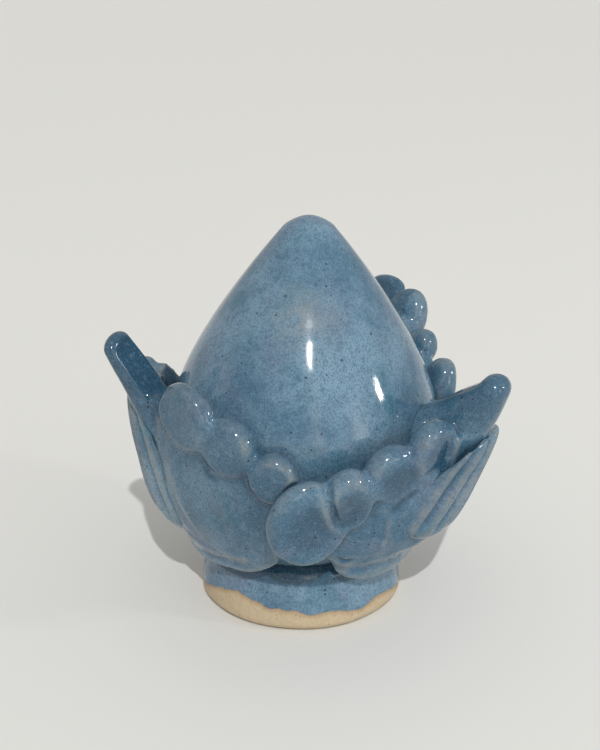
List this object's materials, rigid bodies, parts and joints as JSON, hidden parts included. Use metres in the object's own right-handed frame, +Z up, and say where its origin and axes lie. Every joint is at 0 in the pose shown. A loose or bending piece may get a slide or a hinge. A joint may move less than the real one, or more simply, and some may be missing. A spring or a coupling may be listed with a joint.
{
  "type": "glazed ceramic artichoke ornament",
  "caption": "Handmade stoneware artichoke bud ornament: a pointed bud on a low foot, wrapped by lobed leaves with curled tips and fluted tongues, in glossy mottled blue glaze.",
  "frame": {"origin": "centre of the foot's flat resting face", "axes": "+Z up through the bud's point, -Y towards the side where the left and right leaves meet, +X to the right seen from there"},
  "size_m": [0.1331, 0.1265, 0.137],
  "materials": {
    "blue_glaze": "glossy mottled blue glaze with fine dark specks, breaking to pale grey and tan on thin rims",
    "bare_stoneware": "matt speckled beige stoneware, glazed blue above a wavy line"
  },
  "bodies": {
    "root": {"foot": "bare_stoneware", "bud": "blue_glaze", "leaf_right": "blue_glaze", "leaf_left": "blue_glaze", "leaf_back": "blue_glaze", "tongue_right": "blue_glaze", "tongue_left": "blue_glaze", "tongue_back": "blue_glaze"}
  },
  "joints": []
}
